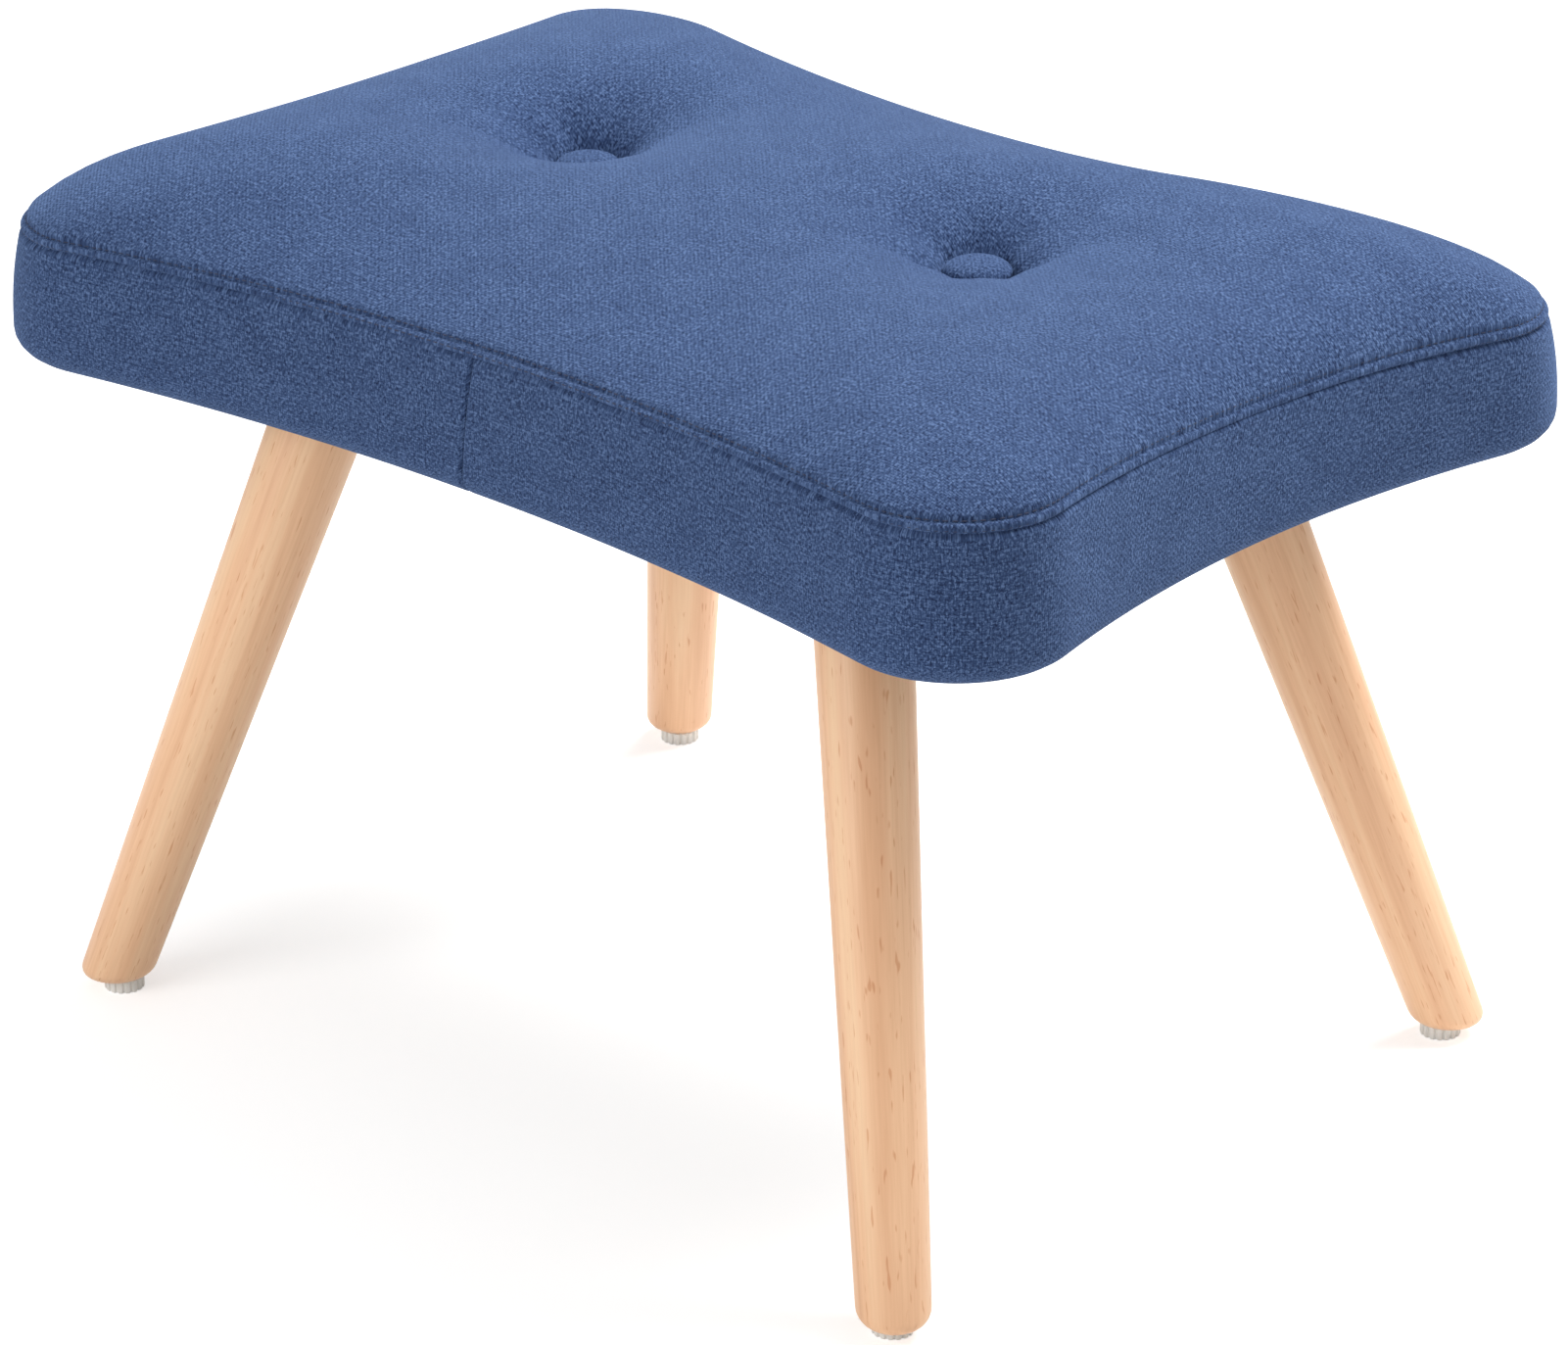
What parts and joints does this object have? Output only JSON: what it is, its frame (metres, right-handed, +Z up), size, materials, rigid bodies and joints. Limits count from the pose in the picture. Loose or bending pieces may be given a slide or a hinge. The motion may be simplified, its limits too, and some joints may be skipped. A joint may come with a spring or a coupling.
{
  "type": "footstool",
  "caption": "Upholstered footstool: waisted rectangular seat in blue woven cloth with button tufts, on splayed tapered beech legs with levelling glides.",
  "frame": {"origin": "on the floor under the middle of the seat", "axes": "+X along the seat's long side, +Y to the back, +Z up"},
  "size_m": [0.562, 0.392, 0.398],
  "materials": {
    "cover_cloth": "blue heathered plain weave, matt",
    "beech": "natural beech, thin satin varnish",
    "glide_plastic": "light grey moulded, ribbed rim",
    "plywood": "raw plywood",
    "foam": "open-cell cushion foam",
    "lining_cloth": "black spunbonded lining",
    "twine": "waxed tufting twine",
    "toggle_plastic": "plain moulded toggle",
    "staple_wire": "galvanised staple wire",
    "plate_metal": "black powder coat",
    "zinc_steel": "zinc-plated steel"
  },
  "bodies": {
    "stool": {"seat_board": "plywood", "foam_pad": "foam", "cover_top_panel": "cover_cloth", "border_band_left": "cover_cloth", "tuft_button_left": "cover_cloth", "tuft_twine_left": "twine", "twine_toggle_left": "toggle_plastic", "border_band_right": "cover_cloth", "tuft_button_right": "cover_cloth", "tuft_twine_right": "twine", "twine_toggle_right": "toggle_plastic", "dust_cover": "lining_cloth", "hem_staples": "staple_wire", "dust_cover_staples": "staple_wire", "plate_screws": "zinc_steel", "hanger_bolts": "zinc_steel", "leg_plate_front_left": "plate_metal", "leg_front_left": "beech", "leg_plate_front_right": "plate_metal", "leg_front_right": "beech", "leg_plate_back_right": "plate_metal", "leg_back_right": "beech", "leg_plate_back_left": "plate_metal", "leg_back_left": "beech"},
    "glide_front_left": {"glide_stud_front_left": "zinc_steel", "glide_pad_front_left": "glide_plastic"},
    "glide_front_right": {"glide_stud_front_right": "zinc_steel", "glide_pad_front_right": "glide_plastic"},
    "glide_back_right": {"glide_stud_back_right": "zinc_steel", "glide_pad_back_right": "glide_plastic"},
    "glide_back_left": {"glide_stud_back_left": "zinc_steel", "glide_pad_back_left": "glide_plastic"}
  },
  "joints": [
    {"name": "glide_front_left_screw_travel", "type": "slide", "parent": "stool", "child": "glide_front_left", "axis": [0, 0, -1], "range_m": [0, 0.008]},
    {"name": "glide_front_right_screw_travel", "type": "slide", "parent": "stool", "child": "glide_front_right", "axis": [0, 0, -1], "range_m": [0, 0.008]},
    {"name": "glide_back_right_screw_travel", "type": "slide", "parent": "stool", "child": "glide_back_right", "axis": [0, 0, -1], "range_m": [0, 0.008]},
    {"name": "glide_back_left_screw_travel", "type": "slide", "parent": "stool", "child": "glide_back_left", "axis": [0, 0, -1], "range_m": [0, 0.008]}
  ]
}
